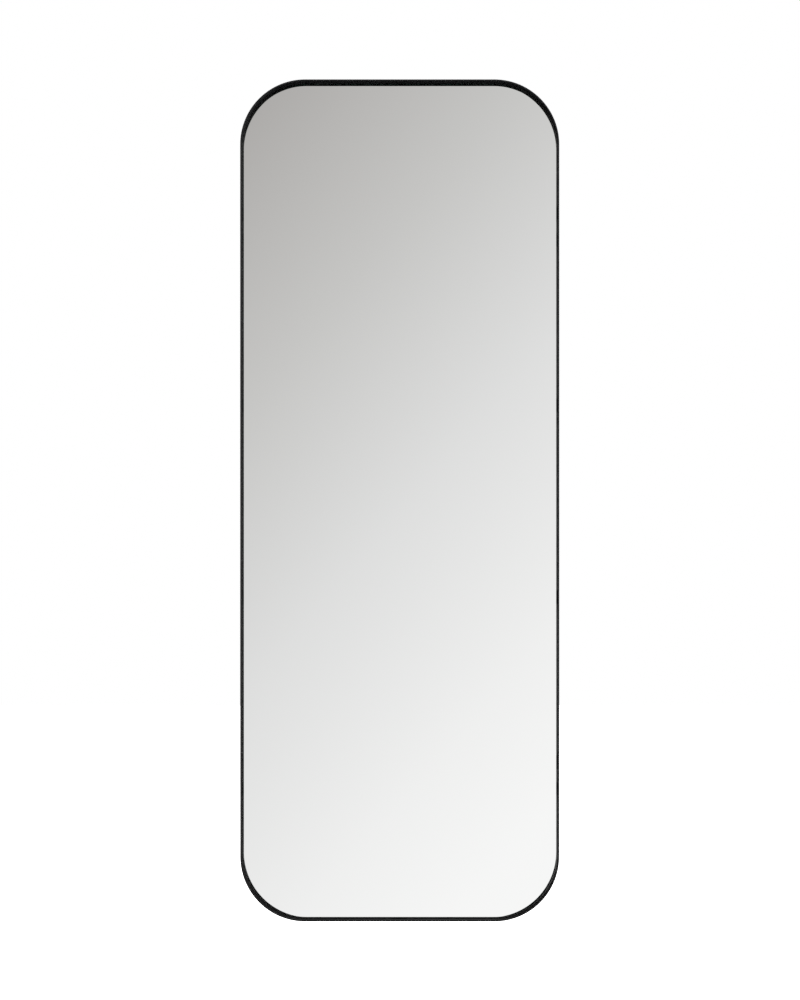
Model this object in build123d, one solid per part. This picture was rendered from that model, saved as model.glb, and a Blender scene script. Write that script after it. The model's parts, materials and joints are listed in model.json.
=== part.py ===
from build123d import *
from math import cos, radians, sin
import os

# Wall mirror: a steel hoop with round corners, and its glass set back behind the rim.
# Millimetres. The glass faces -Y, the wall is on the +Y side, and +Z is up.
# The origin is at the middle of the bottom of the mirror's box.

# Hoop, a flat bar bent round four corners
frame_width = 610.0
frame_height = 1610.0
frame_corner_radius = 124.0
band_thickness = 3.0
band_depth = 38.0
band_edge_bevel = 0.6

# Glass, set back in the hoop, with corners a little rounder than the hoop's
glass_recess = 14.0
glass_thickness = 4.0
glass_edge_gap = 1.2
glass_corner_easing = 6.0
glass_arris = 0.8

# Board behind the glass
board_thickness = 9.0
board_edge_gap = 0.8

# Strips of foam tape, and a bead of adhesive between each two of them
tape_thickness = 1.2
tape_width = 25.0
tape_end_inset = 205.0
tape_count = 4
tape_spacing = 140.0
bead_width = 14.0
bead_end_inset = 240.0

# Rubber blocks under the glass, and spacers at its sides and top
block_length = 40.0
spacer_length = 25.0
rubber_setback = 1.0
end_rubber_bend_margin = 10.0
side_rubber_bend_margin = 160.0

# Steel tabs welded inside the hoop, behind the board
lug_width = 26.0
lug_reach = 22.0
lug_thickness = 2.0
lug_corner_cut = 6.0
lug_hole_radius = 2.2
lug_hole_inset = 12.0
side_lug_count = 4
side_lug_bend_margin = 113.0

# Wood screws, many-sided, with crowned heads
screw_shank_radius = 1.75
screw_head_radius = 3.6
screw_head_height = 2.2
screw_head_bevel = 1.2
screw_point_bevel = 1.3
screw_head_sides = 12
screw_shank_sides = 8
pilot_clearance = 0.05
pilot_extra_depth = 0.5
board_left_under_screws = 1.5

# Strap hangers: a strip rolled into an eye, and a ring of wire that turns in it
strap_width = 17.0
strap_length = 44.0
strap_thickness = 1.2
strap_hole_radius = 2.1
near_screw_distance = 12.5
far_screw_distance = 34.0
eye_mouth_angle = 32.0
ring_wire_radius = 2.0
ring_wire_sides = 10
ring_eye_clearance = 0.3
ring_side_clearance = 0.5
ring_bend_radius = 4.0
ring_bend_steps = 3
ring_leg_length = 9.0
ring_arch_steps = 12

# Places of the hangers, from the hoop's outer faces to the axes of the rings
portrait_hanger_drop = 280.0
portrait_hanger_inset = 115.0
landscape_hanger_inset = 43.0
landscape_hanger_end_inset = 475.0

# Rubber bumpers that hold the hoop off the wall
bumper_radius = 8.5
bumper_bevel = 1.2
bumper_sides = 24
bumper_standoff = 1.0
bumper_side_inset = 70.0
bumper_end_inset = 65.0

# Depths from the rim to the wall. The rim and the wall are as far from the origin.
overall_depth = band_depth + bumper_standoff
rim_y = -overall_depth / 2
wall_y = overall_depth / 2
glass_front_y = rim_y + glass_recess
glass_back_y = glass_front_y + glass_thickness
board_front_y = glass_back_y + tape_thickness
board_back_y = board_front_y + board_thickness
band_back_y = rim_y + band_depth

# Inner faces of the hoop, and where its straight runs meet the bends of hoop and glass
inner_half_width = frame_width / 2 - band_thickness
inner_top_z = frame_height - band_thickness
middle_z = frame_height / 2
bend_reach = frame_corner_radius + glass_corner_easing

# Hanger sizes that follow from the wire and the strip
eye_bore_radius = ring_wire_radius + ring_eye_clearance
eye_outer_radius = eye_bore_radius + strap_thickness
eye_height = eye_outer_radius
ring_bar_half = strap_width / 2 + ring_side_clearance
ring_half_width = ring_bar_half + ring_bend_radius
screw_bite = board_thickness - board_left_under_screws


def slab(outline, front_y, back_y):
    """The outline, drawn looking along +Y, given a thickness from front_y to back_y."""
    back = Plane.XZ.offset(-back_y)
    return extrude(back * outline, amount=back_y - front_y)


def rounded_slab(inset, corner_radius, front_y, back_y):
    """A slab with round corners, set in from the hoop's outer faces by inset."""
    width = frame_width - 2 * inset
    height = frame_height - 2 * inset
    outline = Pos(0, middle_z) * RectangleRounded(width, height, corner_radius)
    return slab(outline, front_y, back_y)


def rim_edges(solid, *depths):
    """The edges of a slab that lie in the planes at these depths."""
    ends = [(edge, (edge @ 0).Y, (edge @ 1).Y) for edge in solid.edges()]
    return [e for e, a, b in ends for y in depths if abs(a - y) + abs(b - y) < 1e-6]


def bevelled_stud(radius, sides, front_y, back_y, bevel_y, bevel):
    """A many-sided stud along Y, bevelled at the end that lies at bevel_y."""
    stud = slab(RegularPolygon(radius, sides), front_y, back_y)
    return chamfer(rim_edges(stud, bevel_y), bevel)


def placed(shape, x, y, z, turn=0.0):
    """Puts a shape down at a place, turned about Y."""
    return Pos(x, y, z) * Rot(0, turn, 0) * shape


def along(x, z, turn, distance):
    """The point at a distance from a place, in the direction that +X takes after the turn."""
    return x + distance * cos(radians(turn)), z - distance * sin(radians(turn))


def make_frame_band():
    """The hoop: the bar goes round the mirror on edge, and its long edges are eased."""
    outer = rounded_slab(0, frame_corner_radius, rim_y, band_back_y)
    inner_radius = frame_corner_radius - band_thickness
    band = outer - rounded_slab(band_thickness, inner_radius, rim_y, band_back_y)
    return chamfer(rim_edges(band, rim_y, band_back_y), band_edge_bevel)


def make_mirror_glass():
    """The glass: its corners are rounder than the hoop's, and its edges are arrissed."""
    radius = frame_corner_radius - band_thickness + glass_corner_easing
    glass = rounded_slab(band_thickness + glass_edge_gap, radius, glass_front_y, glass_back_y)
    return chamfer(rim_edges(glass, glass_front_y, glass_back_y), glass_arris)


def lug_places():
    """Name, foot on the hoop's inner face, and turn of each lug."""
    places = [("lug_bottom", 0, band_thickness, -90), ("lug_top", 0, inner_top_z, 90)]
    lowest = frame_corner_radius + side_lug_bend_margin + lug_width / 2
    spacing = (frame_height - 2 * lowest) / (side_lug_count - 1)
    for number in range(side_lug_count):
        z = lowest + number * spacing
        places.append((f"lug_left_{number + 1}", -inner_half_width, z, 0))
        places.append((f"lug_right_{number + 1}", inner_half_width, z, 180))
    return places


def lug_screw_places():
    return [along(x, z, turn, lug_hole_inset) for _, x, z, turn in lug_places()]


def hanger_places():
    """Name, place of the ring's axis, and turn of each hanger. At turn 0 a strap runs down."""
    portrait_x = frame_width / 2 - portrait_hanger_inset
    portrait_z = frame_height - portrait_hanger_drop
    landscape_x = frame_width / 2 - landscape_hanger_inset
    return [
        ("portrait_left", -portrait_x, portrait_z, 0),
        ("portrait_right", portrait_x, portrait_z, 0),
        ("landscape_lower", landscape_x, landscape_hanger_end_inset, 90),
        ("landscape_upper", landscape_x, frame_height - landscape_hanger_end_inset, 90),
    ]


def hanger_screw_places(x, z, turn):
    """The two screws on the middle line of a strap."""
    down = turn + 90
    return [along(x, z, down, d) for d in (near_screw_distance, far_screw_distance)]


def make_backing_board():
    """The board, with a blind pilot hole for each screw."""
    inset = band_thickness + board_edge_gap
    board = rounded_slab(inset, frame_corner_radius - inset, board_front_y, board_back_y)
    screws = lug_screw_places()
    for _, x, z, turn in hanger_places():
        screws += hanger_screw_places(x, z, turn)
    end_y = board_back_y - screw_bite - pilot_extra_depth
    outline = RegularPolygon(screw_shank_radius + pilot_clearance, screw_shank_sides)
    pilot = slab(outline, end_y, board_back_y)
    return board - [placed(pilot, x, 0, z) for x, z in screws]


def make_tape_strip(x):
    """A strip of tape down the back of the glass."""
    strip = Rectangle(tape_width, frame_height - 2 * tape_end_inset)
    return slab(Pos(x, middle_z) * strip, glass_back_y, board_front_y)


def make_adhesive_bead(x):
    """A pressed bead of adhesive down the back of the glass, with round ends."""
    bead = SlotOverall(frame_height - 2 * bead_end_inset, bead_width, rotation=90)
    return slab(Pos(x, middle_z) * bead, glass_back_y, board_front_y)


def make_glass_rubber(length):
    """A rubber strip that stands out along +X and fills the gap to the glass's edge."""
    strip = Pos(glass_edge_gap / 2, 0) * Rectangle(glass_edge_gap, length)
    return slab(strip, glass_front_y + rubber_setback, glass_back_y)


def rubber_places():
    """Name, length, foot on the hoop's inner face, and turn of each rubber strip."""
    end_x = frame_width / 2 - bend_reach - end_rubber_bend_margin
    block_x = end_x - block_length / 2
    top_x = end_x - spacer_length / 2
    low_z = bend_reach + side_rubber_bend_margin + spacer_length / 2
    high_z = frame_height - low_z
    left, right = -inner_half_width, inner_half_width
    return [
        ("setting_block_left", block_length, -block_x, band_thickness, -90),
        ("setting_block_right", block_length, block_x, band_thickness, -90),
        ("edge_spacer_top_left", spacer_length, -top_x, inner_top_z, 90),
        ("edge_spacer_top_right", spacer_length, top_x, inner_top_z, 90),
        ("edge_spacer_left_lower", spacer_length, left, low_z, 0),
        ("edge_spacer_left_upper", spacer_length, left, high_z, 0),
        ("edge_spacer_right_lower", spacer_length, right, low_z, 180),
        ("edge_spacer_right_upper", spacer_length, right, high_z, 180),
    ]


def make_lug():
    """A tab that stands out along +X from the hoop, with clipped corners and a hole."""
    plate = Pos(lug_reach / 2, 0) * Rectangle(lug_reach, lug_width)
    plate = chamfer(plate.vertices().group_by(Axis.X)[-1], lug_corner_cut)
    plate -= Pos(lug_hole_inset, 0) * Circle(lug_hole_radius)
    return slab(plate, board_back_y, board_back_y + lug_thickness)


def make_screw(length):
    """A screw along Y: its crowned head is above y 0, and its shank and point are below."""
    tip_y = screw_head_height
    head = bevelled_stud(screw_head_radius, screw_head_sides, 0, tip_y, tip_y, screw_head_bevel)
    shank = bevelled_stud(
        screw_shank_radius, screw_shank_sides, -length, 0, -length, screw_point_bevel
    )
    return head + shank


def screw_group(places, seat_y):
    """Screws whose heads sit at seat_y and whose points go screw_bite into the board."""
    screw = make_screw(seat_y - board_back_y + screw_bite)
    return Compound(children=[placed(screw, x, seat_y, z) for x, z in places])


def make_hanger_strap():
    """The strip lies on y 0 and runs down from the eye, which is its end rolled up."""
    eye = Circle(eye_outer_radius) - Circle(eye_bore_radius)
    reach = 2 * eye_outer_radius
    mouth_y = -reach * sin(radians(eye_mouth_angle))
    mouth_z = -reach * cos(radians(eye_mouth_angle))
    mouth = Polyline((0, 0), (mouth_y, mouth_z), (-reach, mouth_z), (-reach, 0), close=True)
    eye -= make_face(mouth)
    strip = Pos(strap_thickness / 2, -strap_length / 2) * Rectangle(strap_thickness, strap_length)
    profile = Pos(eye_height, 0) * eye + strip
    rolled = extrude(Plane.YZ * profile, amount=strap_width / 2, both=True)

    # The flat blank has a round tail and two screw holes
    tail_z = strap_width / 2 - strap_length
    straight = eye_outer_radius - tail_z
    blank = Pos(0, tail_z + straight / 2) * Rectangle(strap_width, straight)
    blank += Pos(0, tail_z) * Circle(strap_width / 2)
    holes = [Pos(0, -d) for d in (near_screw_distance, far_screw_distance)]
    blank -= [hole * Circle(strap_hole_radius) for hole in holes]
    return rolled & slab(blank, 0, eye_height + eye_outer_radius)


def arc_points(x, z, radius, start, end, steps):
    """Points along an arc about a centre, from one angle to the other, in degrees."""
    angles = [radians(start + (end - start) * i / steps) for i in range(steps + 1)]
    return [(x + radius * cos(a), z + radius * sin(a)) for a in angles]


def make_hanger_ring():
    """A ring of wire: a straight bar in the eye, two legs, and a half round below them."""
    bend = (-ring_bend_radius, ring_bend_radius)
    points = [
        (0, 0),
        *arc_points(ring_bar_half, *bend, 90, 0, ring_bend_steps),
        *arc_points(0, -ring_leg_length, ring_half_width, 0, -180, ring_arch_steps),
        *arc_points(-ring_bar_half, *bend, 180, 90, ring_bend_steps),
    ]
    path = Plane.XZ.offset(-eye_height) * Polyline(*points, close=True)
    flat_up = 180 / ring_wire_sides
    wire = RegularPolygon(ring_wire_radius, ring_wire_sides, rotation=flat_up)
    start = Plane(origin=(0, eye_height, 0), x_dir=(0, 0, 1), z_dir=(1, 0, 0))
    return sweep(start * wire, path=path, transition=Transition.RIGHT)


def make_wall_bumper():
    """A rubber foot from the board to the wall, with its tip bevelled."""
    return bevelled_stud(
        bumper_radius, bumper_sides, board_back_y, wall_y, wall_y, bumper_bevel
    )


def bumper_places():
    """Name and place of each bumper."""
    x = frame_width / 2 - bumper_side_inset
    z = frame_height - bumper_end_inset
    return [
        ("wall_bumper_lower_left", -x, bumper_end_inset),
        ("wall_bumper_lower_right", x, bumper_end_inset),
        ("wall_bumper_upper_left", -x, z),
        ("wall_bumper_upper_right", x, z),
    ]


def make_parts():
    """Every separate piece by its name."""
    parts = {
        "frame_band": make_frame_band(),
        "mirror_glass": make_mirror_glass(),
        "backing_board": make_backing_board(),
        "lug_screws": screw_group(lug_screw_places(), board_back_y + lug_thickness),
    }
    first_tape_x = -(tape_count - 1) / 2 * tape_spacing
    for number in range(tape_count):
        x = first_tape_x + number * tape_spacing
        parts[f"tape_strip_{number + 1}"] = make_tape_strip(x)
        if number < tape_count - 1:
            parts[f"adhesive_bead_{number + 1}"] = make_adhesive_bead(x + tape_spacing / 2)
    for name, length, x, z, turn in rubber_places():
        parts[name] = placed(make_glass_rubber(length), x, 0, z, turn)

    lug = make_lug()
    for name, x, z, turn in lug_places():
        parts[name] = placed(lug, x, 0, z, turn)

    strap = make_hanger_strap()
    ring = make_hanger_ring()
    for name, x, z, turn in hanger_places():
        parts[f"hanger_strap_{name}"] = placed(strap, x, board_back_y, z, turn)
        parts[f"hanger_ring_{name}"] = placed(ring, x, board_back_y, z, turn)
        screws = hanger_screw_places(x, z, turn)
        parts[f"hanger_screws_{name}"] = screw_group(screws, board_back_y + strap_thickness)

    bumper = make_wall_bumper()
    for name, x, z in bumper_places():
        parts[name] = placed(bumper, x, 0, z)
    return parts


os.makedirs("parts", exist_ok=True)
for name, shape in make_parts().items():
    export_step(shape, f"parts/{name}.step")
    print(name, round(shape.volume))
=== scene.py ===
# %% [markdown]
# # A wall mirror
# The object is a tall mirror: a thin steel hoop with round corners, and silvered glass set
# back behind its rim. Its solids are already made, at their real size and in their places.
# This lesson gives them finer meshes where light catches an edge, then their finishes, the
# light and the camera. Everything is in metres. The glass faces -Y, the wall would be on
# the +Y side, and +Z is up.

# %% Load the solids
import json
from math import pi, radians

import bpy
from mathutils import Matrix, Vector


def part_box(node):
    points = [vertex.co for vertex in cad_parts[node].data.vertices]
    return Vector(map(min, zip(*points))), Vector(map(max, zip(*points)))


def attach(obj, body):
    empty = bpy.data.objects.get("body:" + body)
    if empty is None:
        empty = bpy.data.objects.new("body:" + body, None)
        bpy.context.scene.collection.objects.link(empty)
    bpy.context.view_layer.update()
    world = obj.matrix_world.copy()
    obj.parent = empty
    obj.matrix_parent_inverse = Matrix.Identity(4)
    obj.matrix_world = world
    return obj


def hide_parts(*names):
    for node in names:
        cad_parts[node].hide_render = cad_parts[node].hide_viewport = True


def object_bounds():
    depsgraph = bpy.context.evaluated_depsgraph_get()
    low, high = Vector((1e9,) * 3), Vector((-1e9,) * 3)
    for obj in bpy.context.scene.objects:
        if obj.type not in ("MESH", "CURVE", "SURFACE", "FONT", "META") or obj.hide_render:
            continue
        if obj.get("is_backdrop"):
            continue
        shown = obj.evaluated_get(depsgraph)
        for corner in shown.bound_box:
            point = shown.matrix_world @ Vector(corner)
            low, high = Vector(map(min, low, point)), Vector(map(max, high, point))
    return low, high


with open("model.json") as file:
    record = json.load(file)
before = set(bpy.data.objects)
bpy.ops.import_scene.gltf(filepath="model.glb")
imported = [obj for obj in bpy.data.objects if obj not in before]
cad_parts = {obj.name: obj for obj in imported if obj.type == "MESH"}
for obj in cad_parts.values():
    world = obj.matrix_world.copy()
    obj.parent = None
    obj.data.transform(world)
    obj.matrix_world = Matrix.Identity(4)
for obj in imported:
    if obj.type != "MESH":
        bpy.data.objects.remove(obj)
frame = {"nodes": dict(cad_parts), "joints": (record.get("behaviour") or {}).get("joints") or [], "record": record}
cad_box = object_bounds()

# %% [markdown]
# The solids give most sizes. A bend's radius or a hole's distance can't be read from a box,
# so those are written down here, as a maker would note them on the drawing.

# %% Sizes
hoop_low, hoop_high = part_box("frame_band")
glass_low, glass_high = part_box("mirror_glass")
board_back_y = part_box("backing_board")[1].y
width, height = hoop_high.x - hoop_low.x, hoop_high.z - hoop_low.z
bar_thickness = 0.003
bar_edge_radius = 0.0007
bar_edge_steps = 4
hoop_corner_radius = 0.124
glass_corner_radius = 0.127
glass_arris = 0.0008
bend_steps = 40
print(f"hoop {width:.3f} by {height:.3f} by {hoop_high.y - hoop_low.y:.3f}")

# %% [markdown]
# A mesh operator acts on all that is selected, and a loaded solid is selected. So each new
# piece starts with nothing selected. In edit mode, the helper `pick` then selects corners,
# edges or faces by a test on where they are.

# %% Helpers for picking
X, Y, Z = 0, 1, 2
same_level = 1e-5


def start_piece():
    """Leaves edit mode and selects nothing."""
    if bpy.context.mode != "OBJECT":
        bpy.ops.object.mode_set(mode="OBJECT")
    bpy.ops.object.select_all(action="DESELECT")


def pick(kind, test):
    """Selects the corners, edges or faces of the piece in edit mode that pass the test."""
    mesh = bpy.context.object.data
    bpy.ops.mesh.select_mode(type=kind)
    bpy.ops.mesh.select_all(action="DESELECT")
    bpy.ops.object.mode_set(mode="OBJECT")
    corners = [v.co for v in mesh.vertices]
    if kind == "VERT":
        found = [(v, [v.co]) for v in mesh.vertices]
    else:
        things = mesh.edges if kind == "EDGE" else mesh.polygons
        found = [(thing, [corners[i] for i in thing.vertices]) for thing in things]
    for thing, places in found:
        thing.select = test(places)
    bpy.ops.object.mode_set(mode="EDIT")


def lies_at(axis, *levels):
    """A test: all corners are at one of these levels along the axis."""
    def test(places):
        return any(all(abs(p[axis] - level) < same_level for p in places) for level in levels)
    return test


# %% [markdown]
# Two moves make most of this mirror, because it is made of bar, strip and wire. A run pulls
# the picked edges straight on, and a bend takes them round a centre, as in a bending jig.

# %% Helpers for shaping
merge_distance = 1e-6


def run(x=0.0, y=0.0, z=0.0):
    """Pulls what is picked straight on."""
    bpy.ops.mesh.extrude_region_move(TRANSFORM_OT_translate={"value": (x, y, z)})


def bend(centre, axis, angle, steps):
    """Takes what is picked round a centre, by an angle in degrees, right-handed."""
    bpy.ops.mesh.spin(steps=steps, angle=radians(-angle), center=centre, axis=axis)


def add_plate(low, high):
    """A plane that faces -Y, at the front of a box and of its size, in edit mode."""
    start_piece()
    middle = ((low[X] + high[X]) / 2, low[Y], (low[Z] + high[Z]) / 2)
    bpy.ops.mesh.primitive_plane_add(size=1, location=middle, rotation=(pi / 2, 0, 0))
    bpy.context.object.scale = (high[X] - low[X], high[Z] - low[Z], 1)
    bpy.ops.object.transform_apply(location=True, rotation=True, scale=True)
    bpy.ops.object.mode_set(mode="EDIT")


def round_corners(radius, steps):
    """Rounds the picked corners of a flat plate."""
    bpy.ops.mesh.bevel(offset=radius, segments=steps, affect="VERTICES", clamp_overlap=False)


def apply_modifier(kind, **settings):
    """Adds a modifier to the active piece, sets it and makes it part of the mesh."""
    if bpy.context.mode != "OBJECT":
        bpy.ops.object.mode_set(mode="OBJECT")
    modifier = bpy.context.object.modifiers.new(kind.title(), kind)
    for name, value in settings.items():
        setattr(modifier, name, value)
    bpy.ops.object.modifier_apply(modifier=modifier.name)


def cut_with(cutter, piece):
    """Cuts a piece with another one, which is then thrown away."""
    start_piece()
    piece.select_set(True)
    bpy.context.view_layer.objects.active = piece
    apply_modifier("BOOLEAN", object=cutter, operation="DIFFERENCE", solver="EXACT")
    bpy.data.objects.remove(cutter)


def finish_piece(name, smooth_below=35):
    """Merges doubles, turns faces outwards, smooths the gentle edges and names the piece.

    Weighted normals keep the large flat faces flat beside their small bevels."""
    piece = bpy.context.object
    if bpy.context.mode == "OBJECT":
        bpy.ops.object.mode_set(mode="EDIT")
    bpy.ops.mesh.select_mode(type="VERT")
    bpy.ops.mesh.select_all(action="SELECT")
    bpy.ops.mesh.remove_doubles(threshold=merge_distance)
    bpy.ops.mesh.normals_make_consistent(inside=False)
    bpy.ops.object.mode_set(mode="OBJECT")
    bpy.ops.object.transform_apply(location=True, rotation=True, scale=True)
    bpy.ops.object.shade_smooth_by_angle(angle=radians(smooth_below))
    apply_modifier("WEIGHTED_NORMAL", keep_sharp=True, weight=80)
    piece.name = piece.data.name = name
    print(f"{name}: {len(piece.data.polygons)} faces")
    return piece


# %% [markdown]
# ## The hoop
# The real hoop is one flat bar, stood on edge and bent four times. Drawing its outline and
# thickening it would work too, but a bar that is run and bent keeps its eased edges the
# same all the way round. Its section starts at the middle of the bottom, and the two ends
# are merged where they meet.

# %% Bend the hoop
def bend_hoop():
    """The bar's section, run and bent round the mirror."""
    start_piece()
    middle = (0, (hoop_low.y + hoop_high.y) / 2, bar_thickness / 2)
    bpy.ops.mesh.primitive_plane_add(size=1, location=middle, rotation=(0, pi / 2, 0))
    bpy.context.object.scale = (bar_thickness, hoop_high.y - hoop_low.y, 1)
    bpy.ops.object.transform_apply(location=True, rotation=True, scale=True)
    bpy.ops.object.mode_set(mode="EDIT")
    round_corners(bar_edge_radius, bar_edge_steps)
    bpy.ops.mesh.select_all(action="SELECT")
    bpy.ops.mesh.delete(type="ONLY_FACE")
    bpy.ops.mesh.select_all(action="SELECT")

    radius = hoop_corner_radius
    right, top = width / 2 - radius, height - radius
    moves = [(right, 0), (0, height - 2 * radius), (-2 * right, 0), (0, 2 * radius - height)]
    centres = [(right, radius), (right, top), (-right, top), (-right, radius)]
    for (x, z), (centre_x, centre_z) in zip(moves, centres):
        run(x=x, z=z)
        bend((centre_x, 0, centre_z), (0, -1, 0), 90, bend_steps)
    run(x=right)
    return finish_piece("hoop")


hoop = bend_hoop()

# %% [markdown]
# ## The glass
# Mirror glass is cut, its corners are ground round, and its sharp edges are taken off with
# a flat arris. A plane with bevelled corners is pulled back by the glass's thickness, and
# then its two rims are bevelled. Front, edge and back get finishes of their own later.

# %% Cut the glass
def cut_glass():
    """A plate with round corners and a flat arris at front and back."""
    add_plate(glass_low, glass_high)
    round_corners(glass_corner_radius, bend_steps)
    bpy.ops.mesh.select_all(action="SELECT")
    run(y=glass_high.y - glass_low.y)
    pick("EDGE", lies_at(Y, glass_low.y, glass_high.y))
    bpy.ops.mesh.bevel(offset=glass_arris, offset_type="OFFSET", segments=1, affect="EDGES")
    return finish_piece("silvered_glass", smooth_below=25)


glass = cut_glass()

# %% [markdown]
# ## Copies
# Lugs, screws, hangers and bumpers repeat. Each is modelled once, as it lies on the board
# with its foot at the origin, and standing out along +X. A copy with its own mesh is then
# turned about Y and moved to its place.

# %% Copy a model to its places
def copy_to(model, name, place, turn=0.0):
    """A copy of a model, turned about Y by degrees and moved to its place."""
    piece = model.copy()
    piece.data = model.data.copy()
    bpy.context.scene.collection.objects.link(piece)
    piece.data.transform(Matrix.Translation(place) @ Matrix.Rotation(radians(turn), 4, "Y"))
    piece.name = piece.data.name = name
    return piece


def along(place, turn, distance):
    """The point at a distance from a place, in the direction that +X takes after the turn."""
    return place + Matrix.Rotation(radians(turn), 3, "Y") @ Vector((distance, 0, 0))


def lug_places():
    """Name, foot and turn of each lug, from the boxes of the solids."""
    places = []
    for node in sorted(frame["nodes"]):
        if not node.startswith("lug_") or node == "lug_screws":
            continue
        low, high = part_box(node)
        middle = (low + high) / 2
        side = node.split("_")[1]
        foot = {
            "left": (Vector((low.x, board_back_y, middle.z)), 0),
            "right": (Vector((high.x, board_back_y, middle.z)), 180),
            "bottom": (Vector((middle.x, board_back_y, low.z)), -90),
            "top": (Vector((middle.x, board_back_y, high.z)), 90),
        }[side]
        places.append((node[len("lug_"):], *foot))
    return places


def hanger_places():
    """Name, place on the board under the ring's axis, turn, and body of each hanger."""
    places = []
    for joint in frame["joints"]:
        x, _, z = joint["pos_m"]
        turn = 0 if abs(joint["axis"][X]) > 0.5 else 90
        name = joint["child"][len("ring_"):]
        places.append((name, Vector((x, board_back_y, z)), turn, joint["child"]))
    return places


print(len(lug_places()), "lugs,", len(hanger_places()), "hangers")

# %% [markdown]
# ## Lugs and their welds
# A lug is a steel tab with clipped corners and a hole. It is cut like the glass, and then
# drilled with a cylinder. The last bevel eases all its edges, the hole's too.

# %% Cut a lug
lug_reach = 0.022
lug_width = 0.026
lug_thickness = 0.002
lug_corner_cut = 0.006
lug_edge_bevel = 0.00025
lug_hole_radius = 0.0022
lug_hole_inset = 0.012


def add_drill(radius, x, z):
    """A cylinder along Y, for cutting a hole."""
    start_piece()
    bpy.ops.mesh.primitive_cylinder_add(
        vertices=32, radius=radius, depth=0.02, location=(x, 0, z), rotation=(pi / 2, 0, 0)
    )
    return bpy.context.object


def cut_lug():
    """A tab that stands out along +X, with its welded edge at x 0."""
    add_plate((0, 0, -lug_width / 2), (lug_reach, 0, lug_width / 2))
    pick("VERT", lies_at(X, lug_reach))
    round_corners(lug_corner_cut, 1)
    bpy.ops.mesh.select_all(action="SELECT")
    run(y=lug_thickness)
    lug = bpy.context.object
    cut_with(add_drill(lug_hole_radius, lug_hole_inset, 0), lug)
    apply_modifier("BEVEL", width=lug_edge_bevel, segments=2, limit_method="ANGLE")
    return finish_piece("lug")


lug = cut_lug()

# %% [markdown]
# A weld bead holds the lug to the hoop: overlapping lens-shaped drops along the joint,
# melted into one skin by a remesh.

# %% Lay a weld bead
bead_radius = 0.0021
bead_pitch = 0.0017
bead_voxel = 0.00032
bead_end_room = 0.0035
bead_drop = (1, 1, 0.62)


def lay_bead(name, first, way, length, drop):
    """A bead from its first drop on, one way. The drop is how a ball is flattened."""
    start_piece()
    drops = 1 + round(length / bead_pitch)
    bpy.ops.mesh.primitive_uv_sphere_add(segments=16, ring_count=10, radius=bead_radius)
    bpy.ops.object.mode_set(mode="EDIT")
    bpy.ops.transform.resize(value=drop, center_override=(0, 0, 0))
    bpy.ops.transform.translate(value=first)
    apply_modifier(
        "ARRAY", count=drops, use_relative_offset=False, use_constant_offset=True,
        constant_offset_displace=Vector(way) * bead_pitch,
    )
    apply_modifier("REMESH", mode="VOXEL", voxel_size=bead_voxel)
    apply_modifier("SMOOTH", factor=0.5, iterations=2)
    return finish_piece(name, smooth_below=60)


bead_length = lug_width - 2 * bead_end_room
bead_start = (0, lug_thickness, -bead_length / 2)
bead = lay_bead("bead", bead_start, (0, 0, 1), bead_length, bead_drop)

# %% [markdown]
# The same bead closes the hoop. It lies across the bar's inner face at the bottom, behind
# the board. Outside, the seam is ground flush, so nothing shows there.

# %% Close the hoop
seam_x = 0.11
seam_end_room = 0.0030
seam_drop = (1.2, 0.62, 0.45)
seam_start = (seam_x, board_back_y + seam_end_room, bar_thickness)
seam_length = hoop_high.y - seam_end_room - seam_start[Y]
seam = lay_bead("seam_weld", seam_start, (0, 1, 0), seam_length, seam_drop)

# %% [markdown]
# ## Screws
# Wood screws with a low round head and a cross recess. The head is a cylinder with its rim
# bevelled into a crown. The shank is pulled out of it, ridge by ridge, for the thread. The
# recess is cut with two crossed wedges.

# %% Turn a screw
head_radius = 0.0036
head_height = 0.0022
head_crown = 0.0016
shank_radius = 0.00175
screw_bite = 0.0075
thread_pitch = 0.0011
thread_root = 0.8
point_room = 0.002
point_length = 0.0018
point_share = 0.15
recess_length = 0.0040
recess_width = 0.0009
recess_depth = 0.0013
recess_taper = 0.35


def add_wedge(turned):
    """A slot's cutter that narrows towards its bottom."""
    start_piece()
    bpy.ops.mesh.primitive_cube_add(size=1, location=(0, head_height, 0))
    wedge = bpy.context.object
    wedge.scale = (recess_length, 2 * recess_depth, recess_width)
    wedge.rotation_euler = (0, turned, 0)
    bpy.ops.object.transform_apply(location=True, rotation=True, scale=True)
    bpy.ops.object.mode_set(mode="EDIT")
    pick("FACE", lies_at(Y, head_height - recess_depth))
    narrowed = (recess_taper, 1, recess_taper)
    bpy.ops.transform.resize(value=narrowed, center_override=(0, 0, 0))
    bpy.ops.object.mode_set(mode="OBJECT")
    return wedge


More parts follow.
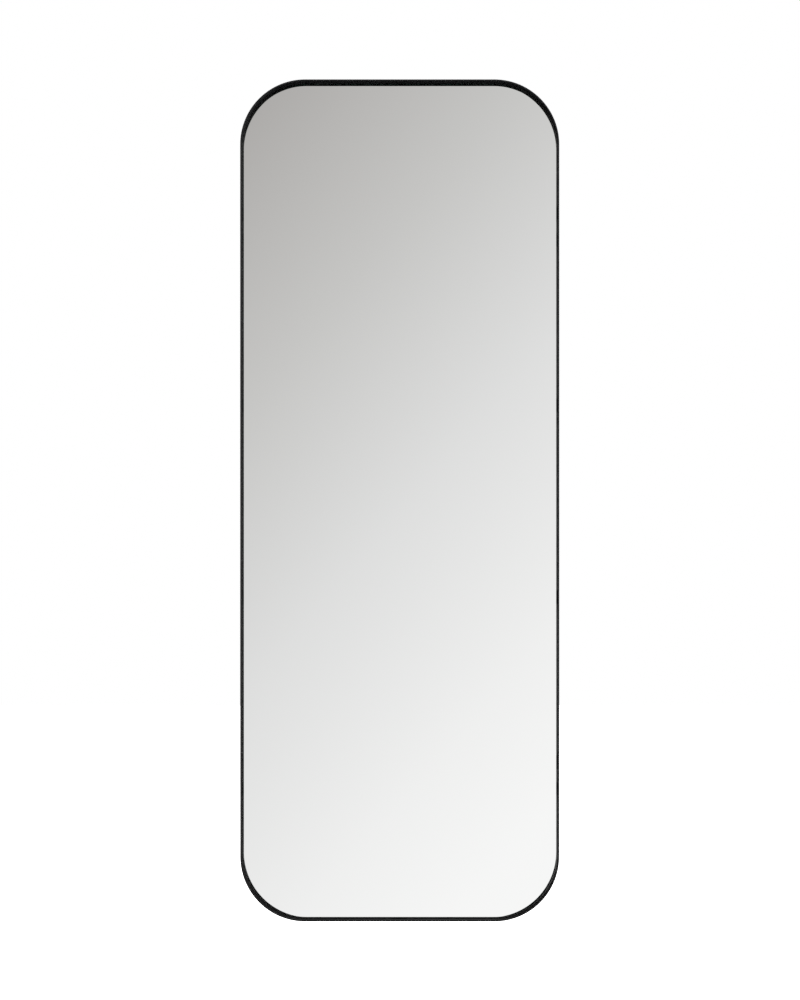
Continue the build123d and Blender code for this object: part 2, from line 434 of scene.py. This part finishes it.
def turn_screw(name, shank_length):
    """A screw whose head stands up along +Y from its seat at y 0."""
    start_piece()
    bpy.ops.mesh.primitive_cylinder_add(
        vertices=32, radius=head_radius, depth=head_height,
        location=(0, head_height / 2, 0), rotation=(pi / 2, 0, 0),
    )
    screw = bpy.context.object
    bpy.ops.object.transform_apply(location=True, rotation=True, scale=True)
    bpy.ops.object.mode_set(mode="EDIT")
    pick("EDGE", lies_at(Y, head_height))
    bpy.ops.mesh.bevel(offset=head_crown, segments=6, affect="EDGES")
    pick("FACE", lies_at(Y, 0))
    bpy.ops.mesh.inset(thickness=head_radius - shank_radius)
    depth = 0.0
    for ridge in range(int((shank_length - point_room) / thread_pitch)):
        for share, step in ((thread_root, 0.4), (1 / thread_root, 0.6)):
            depth -= step * thread_pitch
            run(y=-step * thread_pitch)
            bpy.ops.transform.resize(value=(share, 1, share), center_override=(0, depth, 0))
    run(y=-point_length)
    point = (point_share, 1, point_share)
    bpy.ops.transform.resize(value=point, center_override=(0, depth, 0))
    for turned in (0, pi / 2):
        cut_with(add_wedge(turned), screw)
    return finish_piece(name, smooth_below=40)


lug_screw = turn_screw("lug_screw", lug_thickness + screw_bite)
strap_thickness = 0.0012
hanger_screw = turn_screw("hanger_screw", strap_thickness + screw_bite)

# %% [markdown]
# ## Strap hangers
# A hanger is a strip of thin steel with a round tail, rolled into an eye at its other end.
# The strip is drawn as the sheet's middle layer: its top edge is taken round the ring's bar
# with one bend, and Solidify gives the sheet its thickness afterwards. That keeps the wall
# of the eye as thick as the flat, as it is in a real rolled strip.

# %% Roll a strap
strap_width = 0.017
strap_length = 0.044
strap_edge_bevel = 0.00018
strap_hole_radius = 0.0021
near_screw_distance = 0.0125
far_screw_distance = 0.034
tail_fullness = 0.999
tail_steps = 12
eye_height = 0.0035
eye_roll = 302
eye_steps = 36


def roll_strap():
    """A strap that hangs along -Z from its eye, whose axis is at z 0.

    The tail is a little less than a half round, so that its two arcs don't share a point."""
    middle_y = strap_thickness / 2
    half = strap_width / 2
    add_plate((-half, middle_y, -strap_length), (half, middle_y, 0))
    pick("VERT", lies_at(Z, -strap_length))
    round_corners(half * tail_fullness, tail_steps)
    pick("EDGE", lies_at(Z, 0))
    bend((0, eye_height, 0), (-1, 0, 0), eye_roll, eye_steps)
    apply_modifier("SOLIDIFY", thickness=strap_thickness, offset=0, use_even_offset=True)
    strap = bpy.context.object
    for distance in (near_screw_distance, far_screw_distance):
        cut_with(add_drill(strap_hole_radius, 0, -distance), strap)
    apply_modifier("BEVEL", width=strap_edge_bevel, segments=2, limit_method="ANGLE")
    return finish_piece("strap")


strap = roll_strap()

# %% [markdown]
# ## Rings
# The ring is round wire: a bar through the eye, two tight bends, two legs and a half round.
# It is run and bent like the hoop, from a circle at the middle of its bar.

# %% Bend a ring
wire_radius = 0.002
wire_sides = 20
ring_bar_half = 0.009
ring_bend_radius = 0.004
ring_bend_steps = 10
ring_leg = 0.009
ring_arch_steps = 32


def bend_ring():
    """A ring that hangs along -Z from its bar, whose axis is the eye's."""
    start_piece()
    bpy.ops.mesh.primitive_circle_add(
        vertices=wire_sides, radius=wire_radius,
        location=(0, eye_height, 0), rotation=(0, pi / 2, 0),
    )
    bpy.ops.object.transform_apply(location=True, rotation=True, scale=True)
    bpy.ops.object.mode_set(mode="EDIT")
    bpy.ops.mesh.select_all(action="SELECT")
    leg = ring_leg - ring_bend_radius
    run(x=ring_bar_half)
    bend((ring_bar_half, eye_height, -ring_bend_radius), (0, 1, 0), 90, ring_bend_steps)
    run(z=-leg)
    bend((0, eye_height, -ring_leg), (0, 1, 0), 180, ring_arch_steps)
    run(z=leg)
    bend((-ring_bar_half, eye_height, -ring_bend_radius), (0, 1, 0), 90, ring_bend_steps)
    run(x=ring_bar_half)
    return finish_piece("ring")


ring = bend_ring()

# %% [markdown]
# ## Bumpers
# Four moulded rubber feet hold the mirror off the wall. A moulded foot tapers a little, so
# that it leaves its mould, has a soft edge, and is dished at its tip.

# %% Mould a bumper
bumper_low, bumper_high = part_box("wall_bumper_lower_left")
bumper_radius = (bumper_high.x - bumper_low.x) / 2
bumper_reach = bumper_high.y - bumper_low.y
bumper_taper = 0.94
bumper_edge = 0.0014
dish_rim = 0.0022
dish_slope = 0.0006
dish_depth = 0.0005


def mould_bumper():
    """A foot that stands along +Y on the board."""
    start_piece()
    bpy.ops.mesh.primitive_cylinder_add(
        vertices=48, radius=bumper_radius, depth=bumper_reach,
        location=(0, bumper_reach / 2, 0), rotation=(pi / 2, 0, 0),
    )
    bpy.ops.object.transform_apply(location=True, rotation=True, scale=True)
    bpy.ops.object.mode_set(mode="EDIT")
    pick("FACE", lies_at(Y, bumper_reach))
    narrowed = (bumper_taper, 1, bumper_taper)
    bpy.ops.transform.resize(value=narrowed, center_override=(0, bumper_reach, 0))
    pick("EDGE", lies_at(Y, bumper_reach))
    bpy.ops.mesh.bevel(offset=bumper_edge, segments=5, affect="EDGES")
    pick("FACE", lies_at(Y, bumper_reach))
    bpy.ops.mesh.inset(thickness=dish_rim)
    bpy.ops.mesh.inset(thickness=dish_slope)
    bpy.ops.transform.translate(value=(0, -dish_depth, 0))
    return finish_piece("bumper")


bumper = mould_bumper()

# %% [markdown]
# ## Everything in its place
# Each piece rides on the body that carries it and stands for its solid, whose own mesh is
# hidden. The hoop and the glass are in their places already.

# %% Settle the hoop and the glass
def settle(piece, body, node):
    """Rides on a body and stands for a solid, whose own mesh is hidden."""
    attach(piece, body)
    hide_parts(node)


settle(hoop, "root", "frame_band")
settle(seam, "root", "frame_band")
settle(glass, "root", "mirror_glass")
black_pieces = [hoop, seam]
zinc_pieces = []
rubber_pieces = []
print("settled:", hoop.name, seam.name, glass.name)

# %% [markdown]
# Each lug gets its weld bead and its screw, whose head seats on the lug's back.

# %% Put down the lugs
for name, foot, turn in lug_places():
    tab = copy_to(lug, f"tab_{name}", foot, turn)
    settle(tab, "root", f"lug_{name}")
    weld = copy_to(bead, f"weld_{name}", foot, turn)
    settle(weld, "root", f"lug_{name}")
    seat = along(foot, turn, lug_hole_inset) + Vector((0, lug_thickness, 0))
    screw = copy_to(lug_screw, f"lug_screw_{name}", seat)
    settle(screw, "root", "lug_screws")
    black_pieces += [tab, weld]
    zinc_pieces.append(screw)
print(len(black_pieces), "black pieces")

# %% [markdown]
# A hanger's strap and screws stay with the mirror. Its ring rides on a body of its own, so
# it turns in the eye.

# %% Put down the hangers
for name, place, turn, body in hanger_places():
    rolled = copy_to(strap, f"strap_{name}", place, turn)
    settle(rolled, "root", f"hanger_strap_{name}")
    turning = copy_to(ring, f"d_ring_{name}", place, turn)
    settle(turning, body, f"hanger_ring_{name}")
    zinc_pieces += [rolled, turning]
    for which, distance in (("near", near_screw_distance), ("far", far_screw_distance)):
        seat = along(place, turn + 90, distance) + Vector((0, strap_thickness, 0))
        screw = copy_to(hanger_screw, f"strap_screw_{name}_{which}", seat)
        settle(screw, "root", f"hanger_screws_{name}")
        zinc_pieces.append(screw)
print(len(zinc_pieces), "zinc pieces")

# %% [markdown]
# The bumpers come last. The models of the copies lie at the origin and are thrown away.

# %% Put down the bumpers
for end in ("lower", "upper"):
    for side in ("left", "right"):
        low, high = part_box(f"wall_bumper_{end}_{side}")
        place = Vector(((low.x + high.x) / 2, low.y, (low.z + high.z) / 2))
        foot = copy_to(bumper, f"bumper_{end}_{side}", place)
        settle(foot, "root", f"wall_bumper_{end}_{side}")
        rubber_pieces.append(foot)

for model in (lug, bead, lug_screw, hanger_screw, strap, ring, bumper):
    bpy.data.objects.remove(model)
print(len(rubber_pieces), "rubber pieces")

# %% [markdown]
# ## Writing a finish
# A finish is a small sum: so much base colour, plus a little for the grain. The class below
# lets such a sum be written as one. A `Value` is a socket that varies over a surface, and
# adding or multiplying two of them adds the Math node that does it.

# %% Nodes as sums
class Value:
    """A number or colour that varies over a surface."""

    def __init__(self, paint, socket):
        self.paint = paint
        self.socket = socket

    def maths(self, operation, first, second=0.0):
        """The Math node for an operation on one value or two."""
        return self.paint.node("ShaderNodeMath", {"operation": operation}, {0: first, 1: second})

    def __add__(self, other):
        return self.maths("ADD", self, other)

    def __radd__(self, other):
        return self.maths("ADD", other, self)

    def __sub__(self, other):
        return self.maths("SUBTRACT", self, other)

    def __mul__(self, other):
        return self.maths("MULTIPLY", self, other)

    def __rmul__(self, other):
        return self.maths("MULTIPLY", other, self)

    def __truediv__(self, other):
        return self.maths("DIVIDE", self, other)

    def __abs__(self):
        return self.maths("ABSOLUTE", self)

    def or_zero(self):
        """The value where it is above zero, and zero elsewhere."""
        return self.maths("MAXIMUM", self, 0.0)

    def at_most(self, level):
        """The value where it is below the level, and the level elsewhere."""
        return self.maths("MINIMUM", self, level)

    def above(self, level):
        """1 where the value is above the level, and 0 elsewhere."""
        return self.maths("GREATER_THAN", self, level)

    def to_power(self, power):
        """The value raised to a power, which leaves only its peaks."""
        return self.maths("POWER", self, power)


# %% [markdown]
# `Paint` holds a node tree. Its method `node` adds any node, with its settings and what goes
# into its sockets, and the rest are the few nodes that most finishes ask for.

# %% A tree of nodes
class Paint:
    """A node tree, with one method that adds any node."""

    def __init__(self, tree):
        self.tree = tree
        tree.nodes.clear()

    def node(self, kind, settings=None, sockets=None, output=0):
        """Adds a node, sets it, then fills its sockets. Returns one output as a Value."""
        node = self.tree.nodes.new(kind)
        for name, value in (settings or {}).items():
            if name == "stops":
                self.set_stops(node.color_ramp, value)
            else:
                setattr(node, name, value)
        for key, value in (sockets or {}).items():
            if isinstance(value, Value):
                self.tree.links.new(value.socket, node.inputs[key])
            else:
                node.inputs[key].default_value = value
        return Value(self, node.outputs[output]) if node.outputs else None

    @staticmethod
    def set_stops(ramp, stops):
        """Gives a colour ramp its stops, each a place from 0 to 1 and a colour."""
        while len(ramp.elements) < len(stops):
            ramp.elements.new(1.0)
        for element, (place, colour) in zip(ramp.elements, stops):
            element.position = place
            element.color = (*colour, 1)

    def place(self):
        """Where on the piece a point is, in metres."""
        return self.node("ShaderNodeTexCoord", output="Object")

    def ray_kinds(self):
        """Whether a ray is the camera's, whether it is mirrored or let through, how often."""
        from_camera = self.node("ShaderNodeLightPath", output="Is Camera Ray")
        path = from_camera.socket.node.outputs
        clear = Value(self, path["Is Glossy Ray"]) + Value(self, path["Is Transmission Ray"])
        return from_camera, clear, Value(self, path["Glossy Depth"])

    def part(self, vector, axis):
        """One coordinate of a place or direction."""
        return self.node("ShaderNodeSeparateXYZ", {}, {0: vector}, output=axis)

    def noise(self, place, scale, detail=2.0, roughness=0.5):
        """Cloudy noise from 0 to 1. The scale is in clouds to the metre."""
        sockets = {"Vector": place, "Scale": scale, "Detail": detail, "Roughness": roughness}
        return self.node("ShaderNodeTexNoise", {}, sockets)

    def ramp(self, factor, *stops):
        """The colour that the stops give for a factor."""
        return self.node("ShaderNodeValToRGB", {"stops": stops}, {0: factor})

    def blend(self, factor, first, second):
        """One colour where the factor is 0, the other where it is 1."""
        first, second = (c if isinstance(c, Value) else (*c, 1) for c in (first, second))
        sockets = {0: factor, 6: first, 7: second}
        return self.node("ShaderNodeMix", {"data_type": "RGBA"}, sockets, output=2)

    def stretched(self, place, x, z, turn=0.0):
        """A place whose pattern is drawn out along X and Z, after a turn about Y in degrees."""
        sockets = {"Vector": place, "Rotation": (0, radians(turn), 0), "Scale": (x, 1, z)}
        return self.node("ShaderNodeMapping", {"vector_type": "TEXTURE"}, sockets)

    def bump(self, relief, height, strength=1.0):
        """Relief from 0 to 1, as a surface that rises by height in metres."""
        sockets = {"Height": relief, "Distance": height, "Strength": strength}
        return self.node("ShaderNodeBump", {}, sockets)


# %% [markdown]
# Every finish on the mirror is one Principled shader. A function gives what goes into its
# sockets, and `new_finish` makes the material.

# %% A new finish
def new_finish(name, make_sockets):
    """A material with one Principled shader, whose sockets the function gives."""
    material = bpy.data.materials.new(name)
    material.use_nodes = True
    paint = Paint(material.node_tree)
    shader = paint.node("ShaderNodeBsdfPrincipled", {}, make_sockets(paint))
    paint.node("ShaderNodeOutputMaterial", {}, {"Surface": shader})
    print("finish:", name, len(paint.tree.nodes), "nodes")
    return material


# %% [markdown]
# ## Black powder coat
# Powder coat is a satin black skin. Close up it has a fine orange peel, and it is never
# quite even in gloss, because the powder melts unevenly.

# %% Black powder coat
def coat_sockets(paint):
    place = paint.place()
    peel = paint.noise(place, 900, detail=1.5)
    drift = paint.noise(place, 14, detail=3)
    return {
        "Base Color": paint.blend(drift, (0.0070, 0.0070, 0.0075), (0.0110, 0.0110, 0.0115)),
        "Roughness": 0.24 + 0.10 * drift + 0.04 * peel,
        "IOR": 1.27,
        "Normal": paint.bump(peel, 0.00001, 0.1),
    }


black_coat = new_finish("black_coat", coat_sockets)

# %% [markdown]
# ## The mirror's three faces
# The silver lies behind clear glass, but to the eye the front is a mirror, so the front
# face is a metal with almost no roughness. The faintest uneven polish keeps it from being
# perfect. The ground edge shows the glass's green, and the back is protective paint.

# %% Silver, edge and backing paint
def silver_sockets(paint):
    wiped = paint.noise(paint.stretched(paint.place(), 1, 3), 9, detail=4, roughness=0.6)
    return {
        "Base Color": (0.952, 0.955, 0.950, 1),
        "Metallic": 1.0,
        "Roughness": 0.004 + 0.012 * wiped.to_power(3.0),
    }


def edge_sockets(paint):
    place = paint.place()
    ground = paint.noise(place, 1800, detail=2)
    cloud = paint.noise(place, 30, detail=2)
    return {
        "Base Color": paint.blend(cloud, (0.035, 0.085, 0.070), (0.060, 0.125, 0.105)),
        "Roughness": 0.12 + 0.16 * ground,
        "IOR": 1.52,
        "Coat Weight": 0.35,
        "Normal": paint.bump(ground, 0.00001, 0.5),
    }


def backing_sockets(paint):
    place = paint.place()
    sprayed = paint.noise(place, 700, detail=3)
    drift = paint.noise(place, 6, detail=2)
    return {
        "Base Color": paint.blend(drift, (0.085, 0.092, 0.100), (0.120, 0.127, 0.135)),
        "Roughness": 0.45 + 0.15 * sprayed,
        "Normal": paint.bump(sprayed, 0.00003, 0.5),
    }


silver = new_finish("silver", silver_sockets)
glass_edge = new_finish("glass_edge", edge_sockets)
backing_paint = new_finish("backing_paint", backing_sockets)

# %% [markdown]
# ## Fibreboard
# The board is pressed wood fibre. Its back is bare: warm brown and almost even, of short
# fibres that lie every way, with a few dark flecks of bark. Noise that is drawn out lies one
# way only, so four layers are turned against each other. The front and edges are sealed
# near black, and this black is also painted shade: it stands in for the shade in the gap
# between glass and hoop, so that no brown line shows there. One mask on the depth does that.

# %% Fibreboard
fibre_turns = (12, 57, 103, 148)
bare_depth = 0.0002


def board_sockets(paint):
    place = paint.place()
    bare = paint.part(place, "Y").above(board_back_y - bare_depth)
    mottle = paint.noise(place, 16, detail=3)
    dust = paint.noise(place, 1400, detail=2)
    fibres = sum(
        paint.noise(paint.stretched(place, 1, 5, turn), 900, detail=2) for turn in fibre_turns
    ) / len(fibre_turns)
    tone = 0.14 * mottle + 0.62 * fibres + 0.24 * dust
    wood = paint.ramp(
        tone,
        (0.41, (0.240, 0.148, 0.078)),
        (0.47, (0.335, 0.215, 0.120)),
        (0.53, (0.395, 0.262, 0.152)),
        (0.60, (0.500, 0.355, 0.225)),
    )
    bark = paint.noise(paint.stretched(place, 1, 2.5, 35), 330, detail=1)
    fleck = paint.ramp(bark, (0.68, (0.0, 0.0, 0.0)), (0.76, (0.75, 0.75, 0.75)))
    board = paint.blend(fleck, wood, (0.130, 0.074, 0.036))
    return {
        # painted shade: the near-black front and edges stand in for the shade in the gap between glass and hoop
        "Base Color": paint.blend(bare, (0.006, 0.006, 0.006), board),
        "Roughness": 0.74 + 0.20 * fibres,
        "Normal": paint.bump(fibres, 0.00008, 0.6),
    }


fibreboard = new_finish("fibreboard", board_sockets)

# %% [markdown]
# ## Zinc plate
# Straps, rings and screws are zinc plated. The plating is a soft grey metal with a faint
# blue and yellow cast that drifts over the surface, and fine scuffs from tumbling.

# %% Zinc plate
def zinc_sockets(paint):
    place = paint.place()
    cast = paint.noise(place, 75, detail=2)
    scuffs = paint.noise(paint.stretched(place, 1, 5, 20), 1900, detail=3)
    return {
        "Base Color": paint.ramp(
            cast,
            (0.30, (0.60, 0.64, 0.68)),
            (0.52, (0.68, 0.68, 0.67)),
            (0.72, (0.68, 0.64, 0.55)),
        ),
        "Metallic": 1.0,
        "Roughness": 0.24 + 0.20 * scuffs,
        "Normal": paint.bump(scuffs, 0.00001, 0.5),
    }


zinc = new_finish("zinc_plate", zinc_sockets)

# %% [markdown]
# ## Rubber, foam and adhesive
# These show little or not at all, but they are there. Rubber is near black and dull with a
# fine moulded grain. The foam tape is pale with closed cells, and the adhesive is a creamy
# paste that has set.

# %% Rubber, foam and adhesive
def rubber_sockets(paint):
    place = paint.place()
    grain = paint.noise(place, 1300, detail=2)
    bloom = paint.noise(place, 160, detail=2)
    return {
        "Base Color": paint.blend(bloom, (0.012, 0.012, 0.012), (0.024, 0.024, 0.023)),
        "Roughness": 0.62 + 0.22 * grain,
        "Normal": paint.bump(grain, 0.00003, 0.5),
    }


def foam_sockets(paint):
    place = paint.place()
    sockets = {"Vector": place, "Scale": 1500.0}
    cells = paint.node("ShaderNodeTexVoronoi", {"feature": "F1"}, sockets)
    return {
        "Base Color": paint.blend(cells, (0.62, 0.62, 0.60), (0.80, 0.80, 0.78)),
        "Roughness": 0.80 + 0.12 * cells,
        "Normal": paint.bump(cells, 0.00008, 0.5),
    }


def adhesive_sockets(paint):
    place = paint.place()
    smear = paint.noise(paint.stretched(place, 1, 5), 260, detail=3)
    return {
        "Base Color": paint.blend(smear, (0.56, 0.51, 0.42), (0.70, 0.66, 0.57)),
        "Roughness": 0.40 + 0.25 * smear,
        "Normal": paint.bump(smear, 0.0001, 0.5),
    }


rubber = new_finish("rubber", rubber_sockets)
foam = new_finish("foam_tape", foam_sockets)
adhesive = new_finish("adhesive", adhesive_sockets)

# %% [markdown]
# ## Dressing
# New pieces take their finish as their only material. The glass has three, told apart by
# where each face looks. The solids that stay get theirs in the slot they came with.

# %% Dress the pieces
flat_on = 0.99


def dress(pieces, material):
    """Gives pieces one material in place of all they have."""
    for piece in pieces:
        piece.data.materials.clear()
        piece.data.materials.append(material)


dress(black_pieces, black_coat)
dress(zinc_pieces, zinc)
dress(rubber_pieces, rubber)

glass.data.materials.clear()
for material in (silver, glass_edge, backing_paint):
    glass.data.materials.append(material)
for face in glass.data.polygons:
    looks_back = face.normal.y
    face.material_index = 0 if looks_back < -flat_on else 2 if looks_back > flat_on else 1

finish_of_slot = {
    "board": fibreboard,
    "foam_tape": foam,
    "adhesive": adhesive,
    "rubber": rubber,
}
slot_of_node = {s["node"]: s["material_slot"] for s in frame["record"]["subparts"]}
for node, solid in frame["nodes"].items():
    if not solid.hide_render:
        solid.material_slots[0].material = finish_of_slot[slot_of_node[node]]
        print("solid kept:", node)

# %% [markdown]
# ## The studio
# The camera stands a little to the right of the mirror and below its middle, because the
# photograph shows more of the hoop's left and bottom walls than of the others. The shift
# frames the mirror from there without turning the camera, so its sides stay upright.

# %% The camera's place, from the photograph
photo_width, photo_height = 800, 1000
photo_middle_x, photo_middle_z = 399.7, 500.45
photo_mirror_width = 319.15
metres_per_pixel = width / photo_mirror_width
camera_distance = 2.7
camera_x = 0.12
camera_z = 0.60
rim_y = hoop_low.y

sensor = 0.036
lens = sensor * camera_distance / (photo_height * metres_per_pixel)
view_middle_x = (photo_width / 2 - photo_middle_x) * metres_per_pixel
view_middle_z = height / 2 + (photo_middle_z - photo_height / 2) * metres_per_pixel

camera_data = bpy.data.cameras.new("camera")
camera_data.sensor_width = sensor * 1000
camera_data.lens = lens * 1000
camera_data.shift_x = (view_middle_x - camera_x) / (photo_height * metres_per_pixel)
camera_data.shift_y = (view_middle_z - camera_z) / (photo_height * metres_per_pixel)
camera = bpy.data.objects.new("camera", camera_data)
camera.location = (camera_x, rim_y - camera_distance, camera_z)
camera.rotation_euler = (pi / 2, 0, 0)
bpy.context.scene.collection.objects.link(camera)
bpy.context.scene.camera = camera
print(f"lens {lens * 1000:.1f} mm, shift {camera_data.shift_x:.3f}, {camera_data.shift_y:.3f}")

# %% [markdown]
# A mirror looks like what stands before it. The photograph shows a soft slope of light in
# the glass, dark at the upper left and pale at the lower right, so the world holds that
# slope for rays that the glass sends back. It could be a big lit board before the mirror,
# but a slope in the world is free of shadows and of the lamps. Towards the sides it gives
# way to plain grey, which the glass shows in other views.

# %% The slope of light
glass_distance = camera_distance + glass_low.y - rim_y
slope_tilt = 0.875
slope_length = 3.905
slope_at_middle = 0.4936
slope_ahead = slope_at_middle + (camera_x - slope_tilt * (camera_z - height / 2)) / slope_length
side_grey = (0.28, 0.28, 0.285)


def slope_of_light(paint, across, up, ahead):
    """The colour that a ray meets in a direction, given by its three parts."""
    slant = (across - slope_tilt * up) / ahead
    share = slope_ahead + glass_distance / slope_length * slant
    slope = paint.ramp(
        share,
        (0.00, (0.300, 0.295, 0.290)),
        (0.25, (0.436, 0.424, 0.415)),
        (0.375, (0.590, 0.586, 0.578)),
        (0.50, (0.768, 0.768, 0.768)),
        (0.625, (0.908, 0.908, 0.908)),
        (0.70, (0.965, 0.965, 0.965)),
        (0.80, (0.985, 0.985, 0.985)),
        (1.00, (0.620, 0.620, 0.620)),
    )
    facing = paint.ramp(ahead, (0.40, (0.0, 0.0, 0.0)), (0.85, (1.0, 1.0, 1.0)))
    return paint.blend(facing, side_grey, slope)


print(f"the slope is at {slope_ahead:.3f} straight ahead of the camera")

# %% [markdown]
# The world answers each kind of ray. The camera sees plain white behind the mirror, and a
# first reflection sees the slope. A second one, as from the hoop's inner wall by way of the
# glass, sees a dim glow to the upper right: it greys the left wall, and leaves the right and
# top ones black. Dull surfaces get an even light that grows towards the upper right.

# %% The world
room_light = 0.42
room_rise = 0.80
rise_across, rise_up = 0.6, 0.8
glow_strength = 5.0
glow_across, glow_up = 1.5, 0.9
glow_start = 0.10
glow_most = 0.30
between_first_and_second = 1.5


def light_world():
    """Makes the world that lights the mirror and shows in it."""
    world = bpy.data.worlds.new("studio")
    world.use_nodes = True
    paint = Paint(world.node_tree)
    from_camera, clear, times_mirrored = paint.ray_kinds()
    direction = paint.node("ShaderNodeTexCoord", output="Generated")
    across, up = paint.part(direction, "X"), paint.part(direction, "Z")
    ahead = abs(paint.part(direction, "Y"))

    slope = slope_of_light(paint, across, up, ahead)
    glow = glow_strength * (glow_across * across + glow_up * up - glow_start)
    glow = glow.or_zero().at_most(glow_most)
    ambient = room_light + room_rise * (rise_across * across + rise_up * up).or_zero()
    mirrored = paint.blend(times_mirrored.above(between_first_and_second), slope, glow)
    room = paint.blend(clear, ambient, mirrored)
    final = paint.blend(from_camera, room, (1.0, 1.0, 1.0))
    background = paint.node("ShaderNodeBackground", {}, {"Color": final, "Strength": 1.0})
    paint.node("ShaderNodeOutputWorld", {}, {"Surface": background})
    world.cycles.sampling_method = "NONE"
    bpy.context.scene.world = world
    print("world:", len(paint.tree.nodes), "nodes")


light_world()

# %% [markdown]
# Two large soft lamps light the mirror, one before it and one behind, both from above. They
# don't show in the glass, which reflects the world alone.

# %% Lamps
def hang_lamp(name, place, size, power):
    """A square lamp that looks at the middle of the mirror."""
    data = bpy.data.lights.new(name, "AREA")
    data.size = size
    data.energy = power
    lamp = bpy.data.objects.new(name, data)
    lamp.location = place
    look = Vector((0, 0, height / 2)) - Vector(place)
    lamp.rotation_euler = look.to_track_quat("-Z", "Y").to_euler()
    lamp.visible_glossy = False
    bpy.context.scene.collection.objects.link(lamp)
    print(f"{name}: {power} W, {size} m wide, {look.length:.1f} m away")


hang_lamp("front_lamp", (2.6, -1.5, 3.2), size=2.2, power=130)
hang_lamp("back_lamp", (-1.5, 2.7, 3.2), size=1.8, power=95)

# %% [markdown]
# The floor is pale and lies below the mirror, which hangs. It keeps the mirror's shadow,
# fades to plain white further out, and lets reflected rays through to the slope of light.

# %% Floor
floor_z = -0.42
floor_size = 24.0
floor_tone = (0.88, 0.88, 0.88, 1)
floor_glow = 0.30
white_glow = 1.0
shadow_radius = 0.7
white_radius = 2.2


def lay_floor():
    """A floor that keeps a shadow near the mirror and is white to the camera further out."""
    start_piece()
    bpy.ops.mesh.primitive_plane_add(size=floor_size, location=(0, 0, floor_z))
    floor = bpy.context.object
    floor.name = "floor"
    material = bpy.data.materials.new("floor")
    material.use_nodes = True
    paint = Paint(material.node_tree)
    from_camera, clear, _ = paint.ray_kinds()
    matt = paint.node("ShaderNodeBsdfDiffuse", {}, {"Color": floor_tone})
    radius = paint.node(
        "ShaderNodeVectorMath", {"operation": "LENGTH"}, {0: paint.place()}, output="Value"
    )
    sockets = {0: radius, 1: shadow_radius, 2: white_radius, 3: floor_glow, 4: white_glow}
    fade = paint.node("ShaderNodeMapRange", {"interpolation_type": "SMOOTHSTEP"}, sockets)
    glow = paint.node("ShaderNodeEmission", {}, {"Strength": fade * from_camera})
    lit = paint.node("ShaderNodeAddShader", {}, {0: matt, 1: glow})
    through = paint.node("ShaderNodeBsdfTransparent")
    mixed = paint.node("ShaderNodeMixShader", {}, {0: clear, 1: lit, 2: through})
    paint.node("ShaderNodeOutputMaterial", {}, {"Surface": mixed})
    floor.data.materials.append(material)
    floor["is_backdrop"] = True
    print(f"floor {floor_size} m wide, {-floor_z} m below the mirror")


lay_floor()
bpy.context.scene.view_settings.view_transform = "Standard"

# %% [markdown]
# The dressed mirror has to stay inside the box of its solids. Both boxes are printed, so
# that they can be set side by side.

# %% Print the boxes
boxes = {"cad": cad_box, "visual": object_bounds()}
for name, (low, high) in boxes.items():
    print(name, [round(v, 4) for v in low], [round(v, 4) for v in high])
